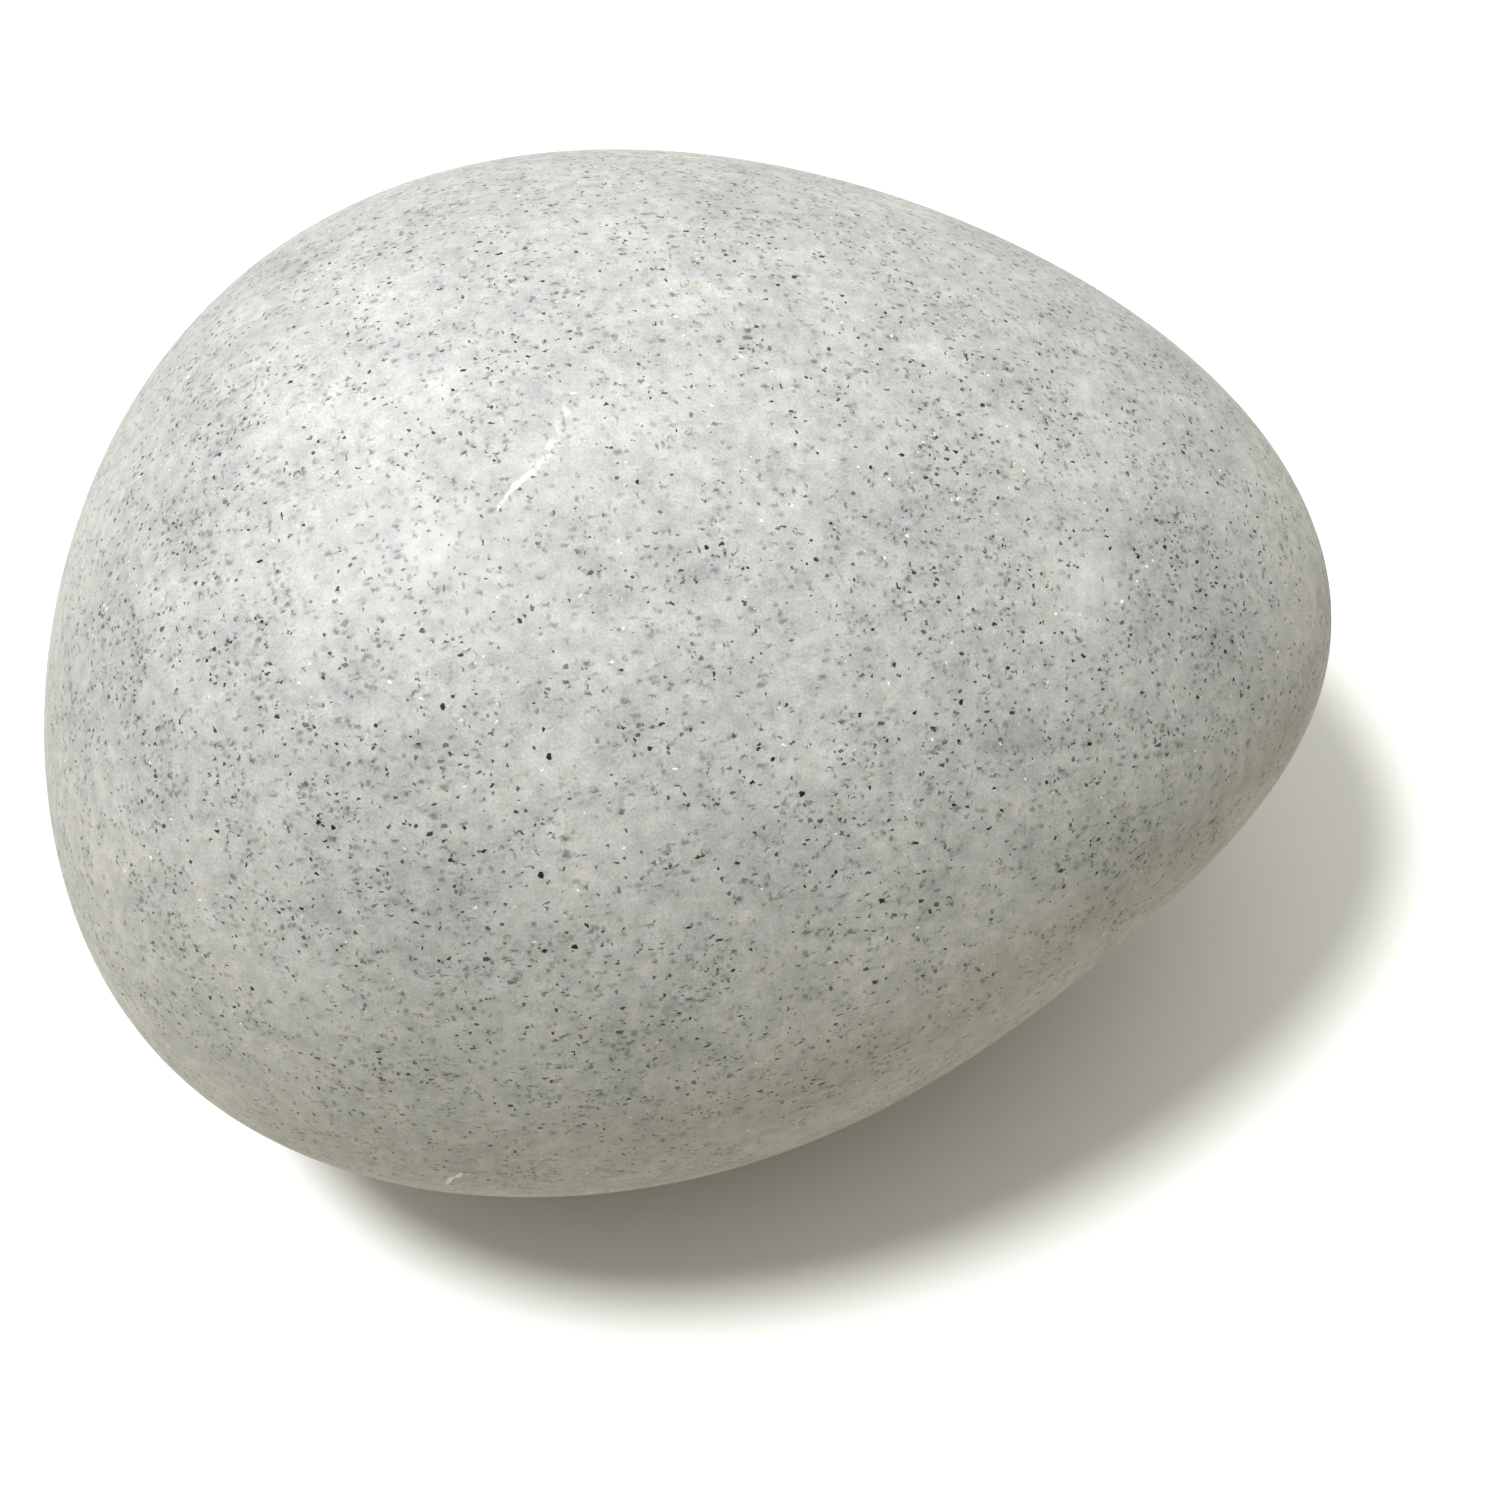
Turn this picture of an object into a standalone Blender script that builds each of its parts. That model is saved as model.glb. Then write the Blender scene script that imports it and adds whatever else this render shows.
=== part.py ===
"""River pebble: one smooth, egg-shaped stone that rests on a small worn flat. Metres, +Z up, +X to the small end."""

import math

import bmesh
import bpy
from mathutils import Matrix, Vector

# Size of the stone from its middle outwards, before the flats are worn in
half_length = 0.0500
half_width = 0.0411
half_height = 0.0365

# How the round form departs from an ellipsoid, as shares of its own size
taper = 0.151  # each section narrows towards the small end and widens towards the blunt end
side_taper = 0.039  # added to the taper on the far side, +Y, and taken from it on the near side
top_taper = 0.121  # added to the taper on top, and taken from it underneath
belly = 0.073  # the stone is this much wider low down, and narrower high up
bow = 0.0059  # metres that the middle stands out to the far side of a line through both ends
small_end_lift = math.radians(3.0)  # the small end is carried a little higher than the blunt end

# Broad flats left by wear: depth as a share of the radius, and the side that each one faces.
# A negative depth is a slight fullness.
flats = (
    (0.065, Vector((0.58, -0.77, -0.25))),  # near side, beside the small end
    (0.017, Vector((-0.54, -0.84, -0.08))),  # near side, beside the blunt end
    (0.014, Vector((-0.94, 0.24, 0.22))),  # across the blunt end
    (-0.011, Vector((0.79, 0.57, 0.24))),  # far side, beside the small end
    (0.022, Vector((-0.15, 0.78, -0.60))),  # far side, low down
)
flat_spread = 0.38  # how far each flat reaches over a ball of radius 1

# The resting flat underneath
worn_depth = 0.00040  # thickness lost at the lowest point
worn_height = 0.00120  # height in which the flat passes into the round without a crease

ball_subdivisions = 5  # 5120 triangles, each about 3 mm across

stone_colour = (0.58, 0.58, 0.56, 1.0)
stone_roughness = 0.45


def clear_scene():
    for thing in list(bpy.data.objects):
        bpy.data.objects.remove(thing)


def wear_flats(point):
    """The point of a ball of radius 1, drawn in where a flat crosses it."""
    loss = 0.0
    for depth, side in flats:
        away = (point - side.normalized()).length
        loss += depth * math.exp(-(away**2) / (2 * flat_spread**2))
    return point * (1 - loss)


def stone_point(point):
    """Where a point of the worn ball lies on the stone."""
    x, y, z = point
    width = 1 - (taper + side_taper * y) * x
    height = 1 - (taper + top_taper * z) * x
    return Vector(
        (
            half_length * x,
            half_width * y * width * (1 - belly * z) + bow * (1 - x * x),
            half_height * z * height,
        )
    )


def wear_height(height):
    """The height above the resting flat, of a point that was at this height before the flat was worn."""
    if height <= 0:
        return 0.0
    if height >= worn_height:
        return height
    share = height / worn_height
    return worn_height * share * share * (2 - share)


def shape_ball(mesh):
    """Turns a ball of radius 1 into the stone, and gives it its resting flat."""
    for vert in mesh.verts:
        vert.co = stone_point(wear_flats(vert.co))
    bmesh.ops.rotate(mesh, verts=mesh.verts, cent=(0, 0, 0), matrix=Matrix.Rotation(-small_end_lift, 3, "Y"))
    lowest = min(vert.co.z for vert in mesh.verts)
    for vert in mesh.verts:
        vert.co.z = wear_height(vert.co.z - lowest - worn_depth)


def centre_footprint(mesh):
    """Moves the stone so that the middle of its length and width is over the origin."""
    xs = [vert.co.x for vert in mesh.verts]
    ys = [vert.co.y for vert in mesh.verts]
    middle = Vector(((min(xs) + max(xs)) / 2, (min(ys) + max(ys)) / 2, 0))
    bmesh.ops.translate(mesh, verts=mesh.verts, vec=-middle)


def stone_material():
    material = bpy.data.materials.new("stone")
    material.use_nodes = True
    shader = material.node_tree.nodes["Principled BSDF"]
    shader.inputs["Base Color"].default_value = stone_colour
    shader.inputs["Roughness"].default_value = stone_roughness
    shader.inputs["Metallic"].default_value = 0.0
    material.diffuse_color = stone_colour
    return material


def make_pebble():
    mesh = bmesh.new()
    bmesh.ops.create_icosphere(mesh, subdivisions=ball_subdivisions, radius=1.0)
    shape_ball(mesh)
    centre_footprint(mesh)
    data = bpy.data.meshes.new("pebble")
    mesh.to_mesh(data)
    mesh.free()
    data.shade_smooth()
    data.materials.append(stone_material())
    pebble = bpy.data.objects.new("pebble", data)
    bpy.context.scene.collection.objects.link(pebble)
    return pebble


clear_scene()
make_pebble()
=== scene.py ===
# %% [markdown]
# # A speckled river pebble
# The part is one stone about 100 mm long: a smooth egg shape of pale grey rock with dark flecks, lying on a
# small worn flat. Its solid comes from the CAD frame, where it is a ball of flat triangles about 3 mm across.
# This script gives it the round surface, the small marks and the speckled rock of the real stone, and then
# the plain studio that it is seen in. Everything is in metres, in the frame's own axes.

# %% Load the frame
import math

import bmesh
import bpy
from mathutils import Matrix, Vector, noise
from mathutils.bvhtree import BVHTree


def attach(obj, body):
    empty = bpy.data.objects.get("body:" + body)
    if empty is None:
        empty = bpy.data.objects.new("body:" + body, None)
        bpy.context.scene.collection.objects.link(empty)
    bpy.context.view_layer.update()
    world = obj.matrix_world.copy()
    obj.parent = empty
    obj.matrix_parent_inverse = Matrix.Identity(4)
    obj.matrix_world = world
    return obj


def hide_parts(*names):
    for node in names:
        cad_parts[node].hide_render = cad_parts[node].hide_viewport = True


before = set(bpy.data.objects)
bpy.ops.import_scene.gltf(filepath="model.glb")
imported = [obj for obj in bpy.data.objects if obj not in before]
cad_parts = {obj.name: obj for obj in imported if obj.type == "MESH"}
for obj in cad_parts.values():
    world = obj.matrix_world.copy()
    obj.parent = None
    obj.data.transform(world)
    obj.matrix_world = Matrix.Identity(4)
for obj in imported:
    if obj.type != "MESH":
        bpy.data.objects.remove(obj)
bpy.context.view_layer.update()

MM = 0.001

# %% [markdown]
# ## The camera
# The stone is seen from above and in front, at about 64 degrees above the table, with its small end to the
# right. A camera can be set by eye, but then every mark lands a little off. Here the angle, the distance and
# the lens were found by laying the solid's outline over the stone's outline and closing the gap between them,
# so a pixel of the photograph can be traced back to a point on the stone.

# %% Camera
photo_size = 1500  # pixels along each side of the photograph
lens_length = 60.0  # millimetres
sensor_width = 36.0  # millimetres
camera_elevation = math.radians(64.0)
camera_azimuth = math.radians(-11.6)
camera_distance = 0.1993
camera_target = Vector((0.0037, -0.0079, 0.0300))
nearest_seen = 0.01
farthest_seen = 10.0

camera_back = Vector(
    (
        math.sin(camera_azimuth) * math.cos(camera_elevation),
        -math.cos(camera_azimuth) * math.cos(camera_elevation),
        math.sin(camera_elevation),
    )
)
camera_data = bpy.data.cameras.new("camera")
camera_data.lens = lens_length
camera_data.sensor_width = sensor_width
camera_data.clip_start = nearest_seen
camera_data.clip_end = farthest_seen
camera = bpy.data.objects.new("camera", camera_data)
camera.location = camera_target + camera_back * camera_distance
camera.rotation_mode = "QUATERNION"
camera.rotation_quaternion = (-camera_back).to_track_quat("-Z", "Y")
bpy.context.scene.collection.objects.link(camera)
bpy.context.scene.camera = camera
print("the camera stands at", [round(x, 4) for x in camera.location])

# %% [markdown]
# ## From the photograph to the stone and back
# Marks and clouds are placed where the photograph shows them, so two helpers go between pixels and points.
# One says where a point of the stone appears in the photograph, and the other sends a line of sight through a
# pixel and finds what it meets. Both use plain camera geometry, because Blender's own helpers take the image
# to have the size that is set for rendering, which isn't the photograph's.

# %% Pixels and points
pixels_per_slope = lens_length / sensor_width * photo_size
photo_middle = photo_size / 2
camera_axes = camera.rotation_quaternion.to_matrix()
camera_right = camera_axes.col[0]
camera_up = camera_axes.col[1]


def photo_place(point):
    """The pixel of the photograph, counted right and down, in which a point appears."""
    sight = point - camera.location
    depth = -sight.dot(camera_back)
    across = sight.dot(camera_right) / depth
    upward = sight.dot(camera_up) / depth
    return Vector((photo_middle + pixels_per_slope * across, photo_middle - pixels_per_slope * upward))


def stone_under(tree, pixel):
    """The point of the stone that a pixel of the photograph shows."""
    across = (pixel[0] - photo_middle) / pixels_per_slope
    upward = (photo_middle - pixel[1]) / pixels_per_slope
    sight = camera_right * across + camera_up * upward - camera_back
    return tree.ray_cast(camera.location, sight.normalized())[0]


print("the middle of the photograph looks at", [round(x, 1) for x in photo_place(camera_target)])

# %% [markdown]
# ## Where the marks run
# Something harder has rubbed the stone once: a thin pale line on top, with a few faint bruises beyond it, and
# a small white nick near the lower edge. They could be drawn on a flat image of the surface, but the stone
# has no such image. Each is a path over the photograph, a list of pixels with a half width and a strength.
# Later, the vertices that appear close to a path are found and moved.

# %% Where the marks run
# pixel right, pixel down, half width in pixels, strength from 0 to 1
scuff_line = (
    (496, 511, 1.0, 0.7),
    (499, 505, 1.5, 1.0),
    (505, 498, 1.2, 0.8),
    (509, 491, 2.0, 0.9),
    (515, 485, 3.2, 1.0),
    (521, 480, 2.5, 0.8),
    (526, 476, 2.7, 0.9),
    (532, 472, 3.3, 1.0),
    (537, 468, 2.2, 0.7),
    (541, 461, 3.8, 0.7),
    (548, 456, 2.8, 0.6),
)
scuff_bruises = (
    ((551, 443, 4.4, 0.7), (546, 450, 2.8, 0.5)),
    ((559, 430, 3.2, 0.65), (557, 422, 2.6, 0.5)),
    ((566, 412, 4.2, 0.75), (564, 404, 2.0, 0.5)),
    ((585, 436, 4.2, 0.45), (591, 429, 3.0, 0.4)),
)
nick_line = (
    (447, 1184, 1.1, 0.9),
    (449, 1182, 1.9, 1.0),
    (452, 1179, 1.1, 0.9),
    (455, 1178, 0.5, 0.7),
    (458, 1177, 1.6, 1.0),
    (460, 1176, 1.9, 1.0),
    (462, 1174, 0.7, 0.8),
)
scuff_paths = (scuff_line, *scuff_bruises)
print("paths of the marks:", len(scuff_paths) + 1)

# %% [markdown]
# ## A copy that is fine where it has to be
# The CAD solid's faces are about 3 mm across, and the scuff is a tenth of that. A copy that is fine all over
# would be heavy, so only the faces under the marks are divided, in rounds that close in on them. Then the
# marks can be cut as real relief and not only painted on.

# %% Copy the solid and divide it under the marks
merge_distance = 0.001 * MM
reach_growth = 0.6  # by how much of the last round's reach each earlier one is wider
scuff_reach = 2.2 * MM
scuff_rounds = 2
line_reach = 0.7 * MM  # close to the scuff, the faces are divided once more
line_rounds = 1
nick_reach = 2.5 * MM
nick_rounds = 3

copy = bmesh.new()
copy.from_mesh(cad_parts["pebble"].data)
bmesh.ops.remove_doubles(copy, verts=copy.verts, dist=merge_distance)
rough_tree = BVHTree.FromBMesh(copy)


def divide_near(mesh, places, reach, rounds):
    """Halves the edges around some places, each time a little closer to them."""
    for step in range(rounds):
        limit = reach * (1 + reach_growth * (rounds - 1 - step))
        near = [
            edge
            for edge in mesh.edges
            if min(((edge.verts[0].co + edge.verts[1].co) / 2 - place).length for place in places) < limit
        ]
        bmesh.ops.subdivide_edges(mesh, edges=near, cuts=1, use_grid_fill=True, smooth=1.0)
        wide = [face for face in mesh.faces if len(face.verts) > 4]
        bmesh.ops.triangulate(mesh, faces=wide)


scuff_places = [stone_under(rough_tree, pixel[:2]) for path in scuff_paths for pixel in path]
nick_places = [stone_under(rough_tree, pixel[:2]) for pixel in nick_line]
divide_near(copy, scuff_places, scuff_reach, scuff_rounds)
divide_near(copy, scuff_places, line_reach, line_rounds)
divide_near(copy, nick_places, nick_reach, nick_rounds)
print("faces before rounding:", len(copy.faces))

# %% [markdown]
# ## The round surface
# A river wears a pebble until no corner is left, but smooth shading alone would leave a faint polygon along
# the outline. A Subdivision Surface rounds the copy without moving it by more than a few hundredths of a
# millimetre. It could stay live, but the next steps move single vertices, so its result is kept as a mesh.

# %% Round it with a Subdivision Surface
rounding_levels = 2

rough_mesh = bpy.data.meshes.new("pebble_rough")
copy.to_mesh(rough_mesh)
copy.free()
rough = bpy.data.objects.new("pebble_rough", rough_mesh)
bpy.context.scene.collection.objects.link(rough)
rounding = rough.modifiers.new("rounding", "SUBSURF")
rounding.levels = rounding_levels
rounding.render_levels = rounding_levels
evaluated = rough.evaluated_get(bpy.context.evaluated_depsgraph_get())
stone_mesh = bpy.data.meshes.new_from_object(evaluated)
stone_mesh.name = "pebble_stone"
bpy.data.objects.remove(rough)
print("faces after rounding:", len(stone_mesh.polygons))

# %% [markdown]
# ## Small unevenness
# The real surface isn't a perfect egg: the light shifts a little over soft hollows that a finger would hardly
# find. A Displace modifier could do this, but moving each vertex along its normal by a noise keeps the depth
# plain to read, and lets it fade out over the worn flat, which has to stay flat on the table.

# %% Uneven the surface
swell_width = 9.0 * MM
swell_depth = 0.020 * MM
ripple_width = 3.5 * MM
ripple_depth = 0.006 * MM
flat_height = 0.5 * MM  # below this the surface stays as worn
fade_height = 3.0 * MM  # above this the unevenness is full

stone = bmesh.new()
stone.from_mesh(stone_mesh)
stone.normal_update()


def fade_in(value, low, high):
    """0 at or below low, 1 at or above high, and a smooth rise between them."""
    share = min(max((value - low) / (high - low), 0.0), 1.0)
    return share * share * (3 - 2 * share)


moves = []
for vert in stone.verts:
    swell = swell_depth * noise.noise(vert.co / swell_width)
    ripple = ripple_depth * noise.noise(vert.co / ripple_width)
    moves.append((swell + ripple) * fade_in(vert.co.z, flat_height, fade_height))
for vert, move in zip(stone.verts, moves):
    vert.co += vert.normal * move
print("unevenness, in millimetres:", round(min(moves) / MM, 3), "to", round(max(moves) / MM, 3))

# %% [markdown]
# ## The scuff and the nick
# The rubbing has taken off a few hundredths of a millimetre, and the nick a little more. A Boolean cut would
# leave sharp walls, and a texture no depth. Here every vertex close by is seen through the camera, and its
# distance from a path says how far it goes in. The same number is kept at the vertex, and the material later
# turns pale there, where the rock is freshly broken.

# %% Cut the marks
scuff_depth = 0.030 * MM
nick_depth = 0.120 * MM
edge_softness = 1.4  # pixels over which a mark fades out beyond its half width
search_reaches = 2  # a mark is looked for within this many of its reaches


def mark_strength(spot, path):
    """How strongly a path of pixels marks a spot of the photograph."""
    strongest = 0.0
    for start, end in zip(path, path[1:]):
        first = Vector(start[:2])
        along = Vector(end[:2]) - first
        share = min(max((spot - first).dot(along) / along.length_squared, 0.0), 1.0)
        away = (spot - first - along * share).length
        width = start[2] + (end[2] - start[2]) * share
        strength = start[3] + (end[3] - start[3]) * share
        faded = fade_in(away, width - edge_softness / 2, width + edge_softness)
        strongest = max(strongest, strength * (1 - faded))
    return strongest


scuff_layer = stone.verts.layers.float.new("scuff")
nick_layer = stone.verts.layers.float.new("nick")
marked = 0
for vert in stone.verts:
    if min((vert.co - place).length for place in scuff_places) < search_reaches * scuff_reach:
        spot = photo_place(vert.co)
        vert[scuff_layer] = max(mark_strength(spot, path) for path in scuff_paths)
        marked += vert[scuff_layer] > 0
    if min((vert.co - place).length for place in nick_places) < search_reaches * nick_reach:
        vert[nick_layer] = mark_strength(photo_place(vert.co), nick_line)
        marked += vert[nick_layer] > 0
for vert in stone.verts:
    vert.co -= vert.normal * (scuff_depth * vert[scuff_layer] + nick_depth * vert[nick_layer])
print("vertices in the marks:", marked)

# %% [markdown]
# ## Clouds, and painted light and shade
# The stone is paler where its dark grains are few, and greyer where they crowd. A noise would scatter such
# clouds anywhere, so the ones that catch the eye are put where they are, as soft round places with a reach
# and a strength, and a noise of the same width adds the rest, on the unseen sides too. Both are wider than a
# face of the mesh, so they are kept as numbers at its vertices, which costs the render nothing. Some placed
# ones are painted light and shade: broad pale ones where the lamps leave the stone too dark, broad grey ones
# where they leave it too pale, and one pale place near the top that is partly a painted highlight.

# %% Lay out the clouds, and the painted light and shade
# pixel right, pixel down, reach in pixels, strength: above 0 is greyer and more crowded, below 0 is paler
cloud_and_painted_light_places = (
    # partly a paler place in the rock, partly a painted highlight where the lamp shows near the top
    (426, 532, 24, -0.7),
    (368, 428, 28, -0.4),
    (435, 387, 26, -0.8),
    (562, 442, 26, -0.8),
    (698, 285, 28, -0.8),
    (807, 518, 20, -1.1),
    (808, 455, 26, -0.8),
    (938, 368, 30, -0.8),
    (945, 465, 24, -0.8),
    (1005, 428, 22, -0.6),
    (1083, 578, 28, -1.2),
    (840, 762, 28, -1.2),
    (852, 700, 20, -0.9),
    (172, 600, 26, -0.9),
    (278, 815, 18, -1.0),
    (348, 735, 36, -1.3),
    (360, 900, 20, -0.8),
    (567, 825, 18, -1.1),
    (675, 915, 24, -0.9),
    (1073, 390, 24, -0.6),
    (390, 615, 30, -0.6),
    (600, 588, 26, 1.3),
    (705, 578, 26, 1.3),
    (180, 518, 30, 1.1),
    (900, 510, 26, 0.9),
    (615, 738, 22, 1.2),
    (540, 698, 20, 1.0),
    (435, 742, 26, 0.9),
    (1230, 645, 38, 1.3),
    (1178, 735, 28, 1.0),
    (1010, 735, 24, 0.8),
    (1025, 848, 26, 1.1),
    (1118, 832, 22, 0.9),
    (675, 1035, 30, 1.3),
    (608, 1038, 20, 1.0),
    (795, 968, 24, 1.1),
    (915, 983, 26, 1.0),
    (825, 908, 20, 0.8),
    (435, 1070, 28, 0.9),
    (322, 915, 20, 0.9),
    (292, 1028, 26, 0.8),
    (150, 885, 26, 0.9),
    (1065, 310, 22, 1.1),
    (560, 350, 30, 0.2),
    (285, 278, 22, 0.8),
    (322, 822, 18, 0.9),
    (458, 900, 24, 0.9),
    (1200, 458, 24, 0.7),
    # broad ones: painted light where they are pale and painted shade where they are grey, which even out what
    # the plain lights leave too dark or too pale
    (800, 395, 55, -1.1),
    (885, 445, 40, -0.8),
    (620, 400, 85, -0.45),
    (525, 322, 45, -0.4),
    (415, 672, 36, -0.6),
    (195, 425, 70, 0.7),
    (985, 250, 45, 0.8),
    (1180, 590, 80, 0.75),
    (1150, 665, 45, 0.5),
    (930, 905, 55, 1.1),
    (590, 935, 55, 0.6),
    (270, 975, 45, 0.5),
    (470, 1020, 60, 0.4),
    (1150, 892, 36, -0.8),
    (1070, 957, 34, -0.6),
    (1255, 815, 32, -0.7),
)
cloud_unevenness = 16.0  # pixels by which a cloud's edge wanders
cloud_seed = 4  # the edges wander the same way in each run; without a seed, Blender starts them from the clock
cloud_end = 6  # a cloud stops where the distance squared is this many times its reach squared
wide_cloud = 14.0 * MM
wide_strength = 1.2
small_cloud = 4.5 * MM
small_strength = 0.9
crowd_width = 2.6 * MM
crowd_strength = 1.3  # how unevenly the flecks are strewn
crowd_by_cloud = 0.5  # how much more of them a grey cloud holds
least_crowd = 0.12

noise.seed_set(cloud_seed)


def placed_clouds_and_painted_light(point):
    """The listed clouds, with the painted light and shade among them, added up at a point of the stone."""
    spot = photo_place(point) + cloud_unevenness * noise.noise_vector(point / crowd_width).xy
    total = 0.0
    for right, down, reach, strength in cloud_and_painted_light_places:
        share = ((spot.x - right) ** 2 + (spot.y - down) ** 2) / reach**2
        if share < cloud_end:
            total += strength * math.exp(-share)
    return total


cloud_and_painted_light_layer = stone.verts.layers.float.new("cloud_and_painted_light")
crowd_layer = stone.verts.layers.float.new("crowd")
for vert in stone.verts:
    wide = wide_strength * noise.noise(vert.co / wide_cloud)
    small = small_strength * noise.noise(vert.co / small_cloud)
    cloud_and_painted_light = wide + small
    if vert.normal.dot(camera.location - vert.co) > 0:
        cloud_and_painted_light += placed_clouds_and_painted_light(vert.co)
    vert[cloud_and_painted_light_layer] = cloud_and_painted_light
    patch = crowd_strength * noise.noise(vert.co / crowd_width)
    # where the number is painted light or shade, the flecks also thin out or crowd there
    vert[crowd_layer] = max(least_crowd, 1 + crowd_by_cloud * cloud_and_painted_light + patch)
cloud_and_light_values = [vert[cloud_and_painted_light_layer] for vert in stone.verts]
print("cloud places:", len(cloud_and_painted_light_places), "from", round(min(cloud_and_light_values), 2), "to", round(max(cloud_and_light_values), 2))

# %% [markdown]
# ## The finished piece
# The real stone is one piece, so it is one object here too. The object stays at the origin, with the stone's
# place in its mesh. It rides on the frame's only body, and the CAD solid is hidden, as this stands in for
# it. Smooth shading joins the small faces into one skin.

# %% Make the piece
stone.to_mesh(stone_mesh)
stone.free()
stone_mesh.shade_smooth()
stone_mesh.materials.clear()
pebble_stone = bpy.data.objects.new("pebble_stone", stone_mesh)
bpy.context.scene.collection.objects.link(pebble_stone)
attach(pebble_stone, "root")
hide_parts("pebble")
stone_mesh.calc_loop_triangles()
print("triangles in the stone:", len(stone_mesh.loop_triangles))

# %% [markdown]
# ## The rock, as nodes
# The rock is a mass of pale grains with dark ones strewn through it, some at the surface and some just below.
# An image of it would hold one side only and stretch at the ends. Nodes that read Object coordinates fill the
# whole stone, as the grains do, so they look the same from all sides and run on where the surface is cut. A
# few short helpers keep the long chain of nodes readable.

# %% Helpers for nodes
rock = bpy.data.materials.new("speckled_rock")
rock.use_nodes = True
tree = rock.node_tree
shader = tree.nodes["Principled BSDF"]


def feed(socket, value):
    """Links an output to a socket, or sets the socket's own value."""
    if isinstance(value, bpy.types.NodeSocket):
        tree.links.new(value, socket)
    else:
        socket.default_value = value


def add(kind, feeds, **settings):
    """Adds a node and feeds its inputs."""
    node = tree.nodes.new(kind)
    for name, value in settings.items():
        setattr(node, name, value)
    for name, value in feeds.items():
        feed(node.inputs[name], value)
    return node


def calc(operation, *values):
    return add("ShaderNodeMath", dict(enumerate(values)), operation=operation).outputs[0]


def vector_calc(operation, first, second):
    return add("ShaderNodeVectorMath", {0: first, 1: second}, operation=operation).outputs[0]


def times(colour, number):
    return add("ShaderNodeVectorMath", {0: colour, "Scale": number}, operation="SCALE").outputs[0]


def rise(value, low, high):
    """0 where the value is below low, 1 where it is above high, and a smooth step between them."""
    feeds = {"Value": value, "From Min": low, "From Max": high}
    return add("ShaderNodeMapRange", feeds, interpolation_type="SMOOTHSTEP").outputs[0]


def swing(value, spread):
    """A noise's 0 to 1 as a swing about 0, of up to half the spread each way."""
    return calc("MULTIPLY_ADD", value, spread, -spread / 2)


def blend_colours(share, first, second):
    return add("ShaderNodeMix", {0: share, 6: first, 7: second}, data_type="RGBA").outputs[2]


def noise_of(place, width, detail=2.0):
    """A noise whose lumps are about this wide, in metres."""
    return add("ShaderNodeTexNoise", {"Vector": place, "Scale": 1 / width, "Detail": detail})


def painted(name):
    """A number that was kept at the mesh's vertices."""
    return add("ShaderNodeAttribute", {}, attribute_name=name).outputs["Fac"]


place = add("ShaderNodeTexCoord", {}).outputs["Object"]
print("the material reads Object coordinates, in metres")

# %% [markdown]
# ## Ground
# Under the flecks, the rock is an even pale grey with a touch of green, made of crystals finer than half a
# millimetre that each reflect a little more or less, with blotches about a millimetre wide. Greyer places are
# also a little bluer, and each blotch has a hint of its own colour. A noise with hard steps would look like
# camouflage, so the blotches are soft and the crystals come from a fine noise, stretched in contrast.

# %% Ground
blotch_width = 1.2 * MM
blotch_spread = 0.54
powder_width = 0.17 * MM
powder_spread = 0.35
cloud_shade = 0.048  # the share of the light that a cloud of strength 1 takes; painted light and shade go the same way
cloud_range = 2.5  # the strength at which the ground is fully pale or fully grey

# the cloud number also carries the painted light and shade of the broad placed clouds and the painted
# highlight
cloud_and_painted_light = painted("cloud_and_painted_light")
blotch_noise = noise_of(place, blotch_width, detail=2.0)
blotch = blotch_noise.outputs["Fac"]
powder = noise_of(place, powder_width, detail=0.0).outputs["Fac"]

tone = calc("MULTIPLY_ADD", cloud_and_painted_light, -cloud_shade, 1.0)
tone = calc("ADD", tone, swing(blotch, blotch_spread))
tone = calc("ADD", tone, swing(powder, powder_spread))

ground_pale = (0.559, 0.559, 0.550, 1.0)
ground_grey = (0.451, 0.458, 0.461, 1.0)
ground = blend_colours(rise(cloud_and_painted_light, -cloud_range, cloud_range), ground_pale, ground_grey)
tint_spread = Vector((0.07, 0.055, 0.15))  # how far red, green and blue drift from blotch to blotch
drift = vector_calc("MULTIPLY", blotch_noise.outputs["Color"], tint_spread)
tint = vector_calc("ADD", drift, Vector((1, 1, 1)) - tint_spread / 2)
ground = vector_calc("MULTIPLY", ground, tint)
print("ground nodes:", len(tree.nodes))

# %% [markdown]
# ## Flecks
# The dark grains are the stone's main feature. Each is a sliver or a chip 0.2 to 0.6 mm long with an angular
# outline, and they lie at all angles. A Voronoi texture gives every cell a centre and three random numbers:
# the first says what the cell holds, a sharp fleck, a grey one veiled by the rock over it, a white crystal or
# nothing, and the others say how big and how strong it is. Squashed and turned coordinates make slivers of
# it, a metric other than the plain distance makes it angular, and a fine noise makes its edges uneven. A few
# such layers, each at its own angle and size, mix into a natural crowd.

# %% Flecks
edge_wobble = 0.28 * MM
wobble_width = 0.24 * MM
noise_middle = (0.5, 0.5, 0.5)
wobble_noise = noise_of(place, wobble_width, detail=0.0).outputs["Color"]
wobble = vector_calc("SUBTRACT", wobble_noise, noise_middle)
uneven_place = vector_calc("ADD", place, times(wobble, edge_wobble))
crowd = painted("crowd")

# shares of the cells that hold each kind, where the crowd is 1
sharp_share = 0.112
veil_share = 0.17
bright_share = 0.014
bright_kind = 0.6  # a random number that neither of the others takes

# distances as shares of the cell
smallest_fleck = 0.12
fleck_growth = 0.13  # what the largest has on top of that
sharp_edge = (-0.04, 0.02)
bright_edge = (0.02, 0.10)
veil_radius = 0.50

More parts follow.
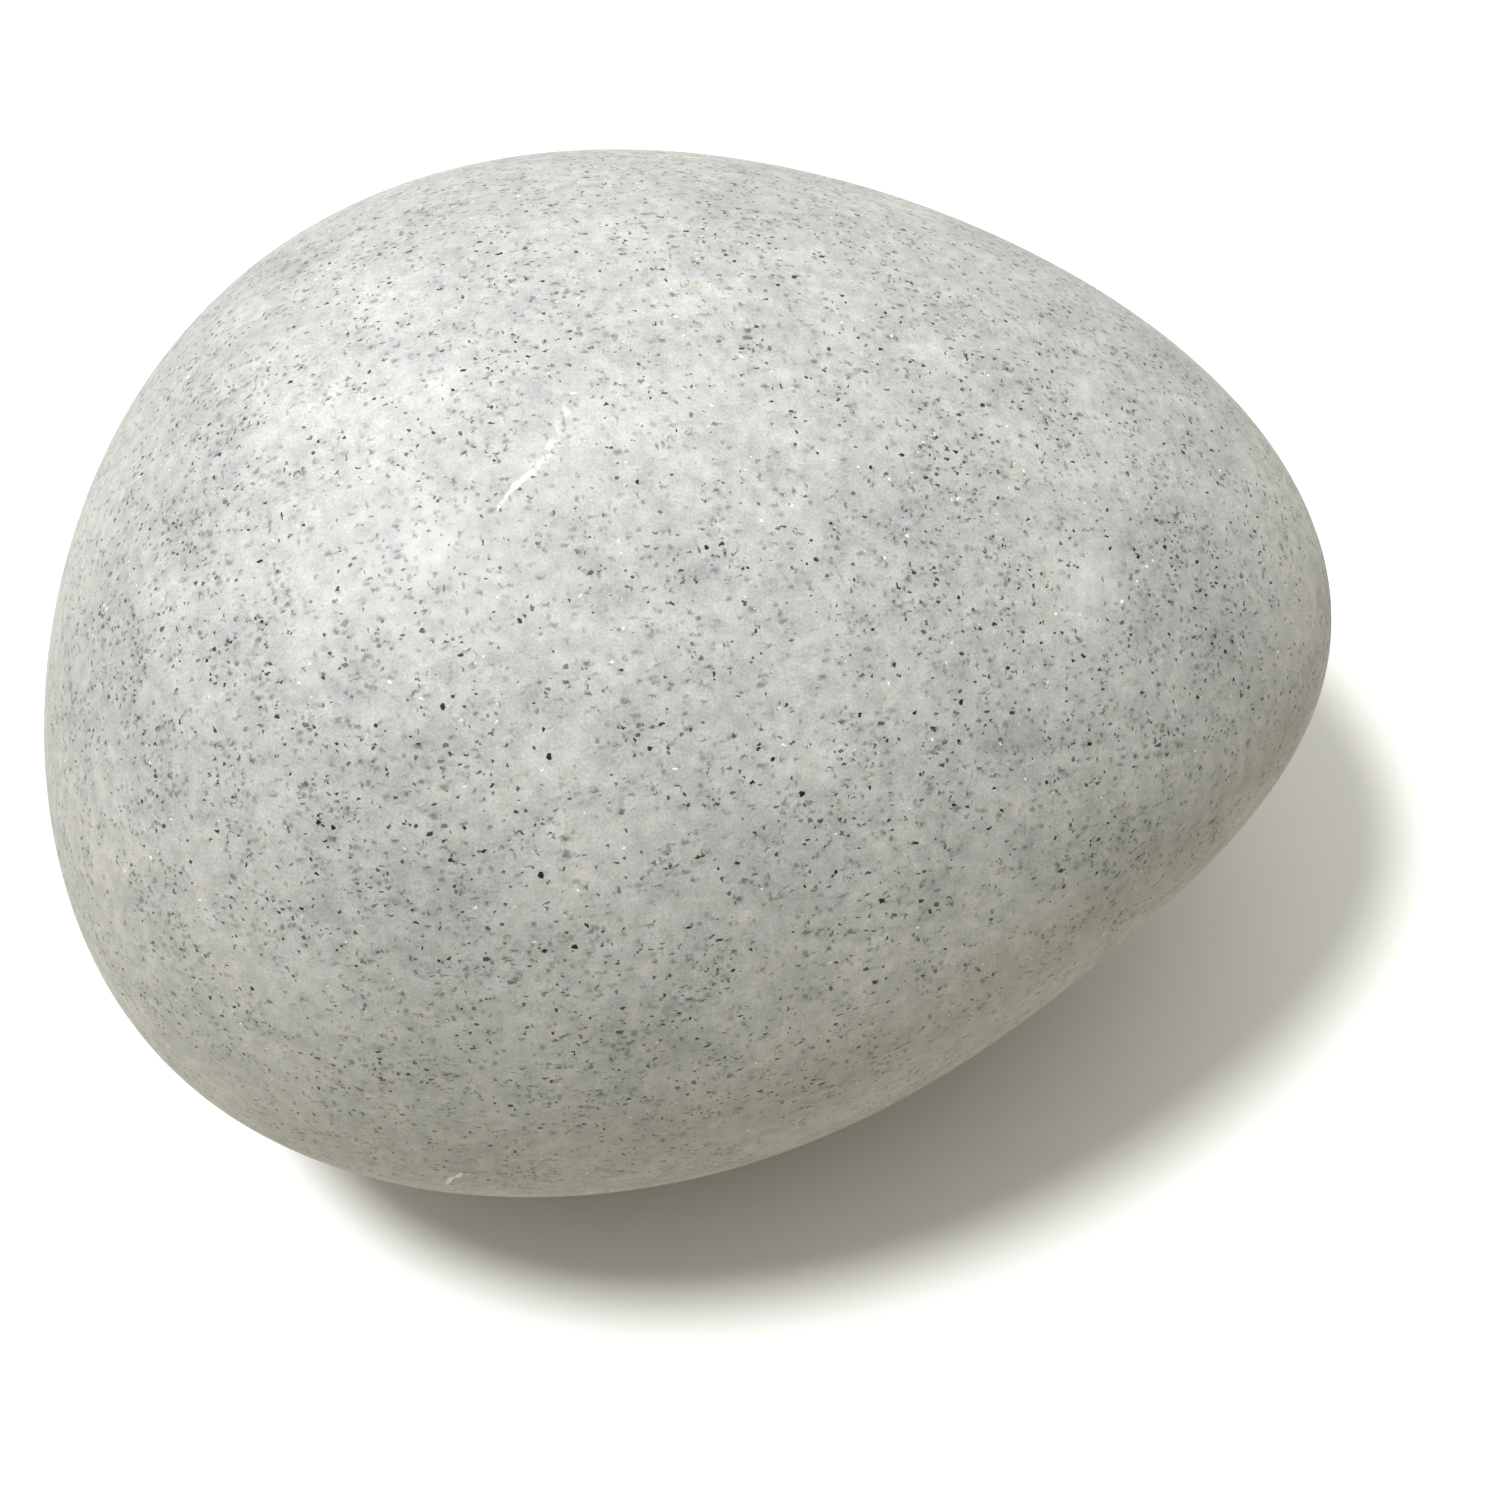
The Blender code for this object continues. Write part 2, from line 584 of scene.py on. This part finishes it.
faintest_sharp = 0.55  # of full darkness
faintest_veil = 0.08
veil_spread = 0.55
fleck_layers = (
    # cell in millimetres, stretch along each axis, turn, metric
    (0.46, (1.7, 0.8, 0.7), (0.0, 0.5, 0.4), "CHEBYCHEV"),
    (0.56, (0.7, 1.7, 0.9), (0.9, 0.2, 1.3), "EUCLIDEAN"),
    (0.56, (0.8, 0.7, 1.6), (1.9, 1.0, 2.4), "CHEBYCHEV"),
    (0.78, (1.3, 0.8, 0.9), (2.7, 1.7, 0.7), "EUCLIDEAN"),
)

sharp, bright = 0.0, 0.0
clear = 1.0  # the light that gets past the veiled flecks
for cell, stretch, turn, metric in fleck_layers:
    scale = [1 / (cell * MM * part) for part in stretch]
    turned = add("ShaderNodeMapping", {"Vector": uneven_place, "Rotation": turn, "Scale": scale}).outputs[0]
    cells = add("ShaderNodeTexVoronoi", {"Vector": turned, "Scale": 1.0}, distance=metric)
    kind, size, strength = add("ShaderNodeSeparateColor", {0: cells.outputs["Color"]}).outputs
    away = cells.outputs["Distance"]
    inside = calc("SUBTRACT", calc("MULTIPLY_ADD", size, fleck_growth, smallest_fleck), away)

    is_sharp = calc("LESS_THAN", kind, calc("MULTIPLY", crowd, sharp_share))
    shown = calc("MULTIPLY", is_sharp, rise(inside, *sharp_edge))
    shown = calc("MULTIPLY", shown, calc("MULTIPLY_ADD", strength, 1 - faintest_sharp, faintest_sharp))
    sharp = calc("MAXIMUM", sharp, shown)

    is_veiled = calc("LESS_THAN", calc("SUBTRACT", 1.0, kind), calc("MULTIPLY", crowd, veil_share))
    shown = calc("MULTIPLY", is_veiled, rise(away, veil_radius, 0.0))
    shown = calc("MULTIPLY", shown, calc("MULTIPLY_ADD", strength, veil_spread, faintest_veil))
    clear = calc("MULTIPLY", clear, calc("SUBTRACT", 1.0, shown))

    is_bright = calc("LESS_THAN", calc("ABSOLUTE", calc("SUBTRACT", kind, bright_kind)), bright_share / 2)
    bright = calc("MAXIMUM", bright, calc("MULTIPLY", is_bright, rise(inside, *bright_edge)))
print("nodes so far:", len(tree.nodes))

# %% [markdown]
# ## The largest flecks
# Some flecks are bigger than the rest and catch the eye, so each is placed by its pixel: a line of sight
# finds the point on the stone, and the distance from that point makes the spot, in the same uneven
# coordinates as the others.

# %% Largest flecks
# pixel right, pixel down, radius in millimetres
large_flecks = (
    (541, 875, 0.22),
    (318, 823, 0.21),
    (333, 827, 0.18),
    (575, 947, 0.19),
    (549, 757, 0.20),
    (637, 482, 0.17),
    (520, 621, 0.19),
    (443, 707, 0.20),
    (461, 655, 0.17),
    (707, 548, 0.17),
    (773, 759, 0.16),
    (802, 794, 0.20),
    (752, 782, 0.16),
    (836, 872, 0.17),
    (882, 901, 0.20),
    (961, 702, 0.17),
)
outer_edge = 1.1  # as shares of the radius
inner_edge = 0.8

stone_tree = BVHTree.FromObject(pebble_stone, bpy.context.evaluated_depsgraph_get())
for right, down, radius in large_flecks:
    spot = stone_under(stone_tree, (right, down))
    away = add("ShaderNodeVectorMath", {0: uneven_place, 1: spot}, operation="DISTANCE").outputs["Value"]
    sharp = calc("MAXIMUM", sharp, rise(away, outer_edge * radius * MM, inner_edge * radius * MM))
print("nodes so far:", len(tree.nodes))

# %% [markdown]
# ## Marks, gloss and the feel of the surface
# Where the skin of the stone is broken, the crushed rock is white and dull. The numbers that the cuts left at
# the vertices say where, and the fine noises break them up. The skin itself is worn satin, and the dark
# grains are a little shinier. Handling has left the faintest polish over all of it: the coat is hardly there,
# but it shows the lamp as a pale patch near the top. A bump much finer than the mesh gives the tooth of worn
# rock.

# %% Put the colours together
fleck_colour = (0.024, 0.027, 0.026, 1.0)
bright_colour = (0.90, 0.90, 0.87, 1.0)
crushed_colour = (0.71, 0.71, 0.71, 1.0)
fresh_colour = (0.95, 0.95, 0.95, 1.0)
tooth_width = 0.30 * MM
tooth_depth = 0.003 * MM
crumble_edge = (0.25, 0.55)
nick_unevenness = 1.6
nick_edge = (0.20, 0.70)
skin_roughness = 0.58
roughness_spread = 0.30
fleck_shine = 0.15  # by which the dark grains are less rough
polish = 0.032
polish_roughness = 0.20

scuff = painted("scuff")
nick = painted("nick")
colour = times(ground, calc("MULTIPLY", tone, clear))
colour = blend_colours(bright, colour, bright_colour)
colour = blend_colours(sharp, colour, fleck_colour)
tooth = noise_of(place, tooth_width, detail=1.0).outputs["Fac"]
crumble = rise(tooth, *crumble_edge)
colour = blend_colours(calc("MULTIPLY", scuff, crumble), colour, crushed_colour)
ragged = calc("MULTIPLY", nick, calc("MULTIPLY_ADD", powder, nick_unevenness, 1 - nick_unevenness / 2))
colour = blend_colours(rise(ragged, *nick_edge), colour, fresh_colour)
feed(shader.inputs["Base Color"], colour)

dullness = calc("ADD", skin_roughness, swing(powder, roughness_spread))
dullness = calc("MULTIPLY_ADD", sharp, -fleck_shine, dullness)
feed(shader.inputs["Roughness"], dullness)

shader.inputs["Coat Weight"].default_value = polish
shader.inputs["Coat Roughness"].default_value = polish_roughness

bump = add("ShaderNodeBump", {"Strength": 1.0, "Distance": tooth_depth, "Height": tooth})
feed(shader.inputs["Normal"], bump.outputs["Normal"])
stone_mesh.materials.append(rock)
print("nodes in the rock:", len(tree.nodes))

# %% [markdown]
# ## The table
# The stone lies on a plain white table. A white surface that goes on all round throws so much light back
# under the stone that its shade comes out far paler than it is, because a real table ends, and the room
# beyond it is darker. So the table shows its full white, but the light that it bounces is taken dimmer and
# warmer: the Light Path node tells the two apart.

# %% Floor
floor_half_width = 2.0
floor_white = (0.95, 0.95, 0.95, 1.0)
floor_bounce = (0.70, 0.67, 0.50, 1.0)
table_roughness = 0.9
table_shine = 0.1

floor_shape = bmesh.new()
bmesh.ops.create_grid(floor_shape, x_segments=1, y_segments=1, size=floor_half_width)
floor_mesh = bpy.data.meshes.new("floor")
floor_shape.to_mesh(floor_mesh)
floor_shape.free()
floor = bpy.data.objects.new("floor", floor_mesh)
bpy.context.scene.collection.objects.link(floor)

table_top = bpy.data.materials.new("table_top")
table_top.use_nodes = True
table_nodes = table_top.node_tree
table_shader = table_nodes.nodes["Principled BSDF"]
table_shader.inputs["Roughness"].default_value = table_roughness
table_shader.inputs["Specular IOR Level"].default_value = table_shine
ray_kind = table_nodes.nodes.new("ShaderNodeLightPath")
table_colour = table_nodes.nodes.new("ShaderNodeMix")
table_colour.data_type = "RGBA"
table_colour.inputs[6].default_value = floor_white
table_colour.inputs[7].default_value = floor_bounce
table_nodes.links.new(ray_kind.outputs["Is Diffuse Ray"], table_colour.inputs[0])
table_nodes.links.new(table_colour.outputs[2], table_shader.inputs["Base Color"])
floor_mesh.materials.append(table_top)
print("the floor is", 2 * floor_half_width, "m wide")

# %% [markdown]
# ## The lamp
# One soft lamp hangs high at the left, a little behind, and its shadow runs out to the right. A sun would
# give the same direction, but a disk at a known distance is plainer to measure: its direction comes from
# where the shadow's edge falls, and its size from how wide that edge blurs.

# %% Lamp
lamp_azimuth = math.radians(168.7)
lamp_elevation = math.radians(72.1)
lamp_distance = 1.0
lamp_width = 0.20
lamp_power = 8.4
lamp_colour = (1.0, 1.0, 1.01)
lit_point = Vector((0, 0, 30 * MM))


def direction_of(azimuth, elevation):
    """The direction at an angle round the stone from +X, and an angle above the table."""
    level = math.cos(elevation)
    return Vector((math.cos(azimuth) * level, math.sin(azimuth) * level, math.sin(elevation)))


lamp_direction = direction_of(lamp_azimuth, lamp_elevation)
lamp_data = bpy.data.lights.new("lamp", "AREA")
lamp_data.shape = "DISK"
lamp_data.size = lamp_width
lamp_data.energy = lamp_power
lamp_data.color = lamp_colour
lamp = bpy.data.objects.new("lamp", lamp_data)
lamp.location = lit_point + lamp_direction * lamp_distance
lamp.rotation_mode = "QUATERNION"
lamp.rotation_quaternion = (-lamp_direction).to_track_quat("-Z", "Y")
bpy.context.scene.collection.objects.link(lamp)
print("the lamp stands at", [round(x, 3) for x in lamp.location])

# %% [markdown]
# ## The room
# The room fills the shade. It is brightest overhead, as under a white ceiling, less bright behind the stone,
# as by a window, and dark in front, where nothing lights the near side. A single flat colour all round would
# take the roundness away, so the room is made of a few broad glows, each strongest in its own direction. The
# helpers that built the rock build it too, in the room's own nodes.

# %% Room
glows = (
    # angle round the stone and above the table in degrees, colour, strength
    (0, 90, (1.04, 1.02, 0.90), 1.18),
    (90, 55, (1.01, 1.0, 0.98), 0.42),
    (90, 28, (0.99, 1.0, 1.02), 0.66),
    (0, 28, (1.06, 1.02, 0.85), 0.10),
)
glow_tightness = 4.0

room = bpy.data.worlds.new("room")
room.use_nodes = True
tree = room.node_tree
looked_at = add("ShaderNodeTexCoord", {}).outputs["Generated"]
room_colour = (0.0, 0.0, 0.0)
for azimuth, elevation, glow_colour, strength in glows:
    direction = direction_of(math.radians(azimuth), math.radians(elevation))
    feeds = {0: looked_at, 1: direction}
    facing = add("ShaderNodeVectorMath", feeds, operation="DOT_PRODUCT").outputs["Value"]
    glow = calc("POWER", calc("MAXIMUM", facing, 0.0), glow_tightness)
    room_colour = vector_calc("ADD", room_colour, times(Vector(glow_colour) * strength, glow))
feed(tree.nodes["Background"].inputs["Color"], room_colour)
bpy.context.scene.world = room
print("glows in the room:", len(glows))

# %% [markdown]
# ## Tones
# Blender's default view softens bright tones, which would turn the white table grey. The photograph keeps it
# pure white, and the Standard view does the same. Cameras also add a little contrast to what they see, so a
# gamma slightly below 1 deepens the shade.

# %% View
view_contrast = 0.86
bpy.context.scene.view_settings.view_transform = "Standard"
bpy.context.scene.view_settings.gamma = view_contrast
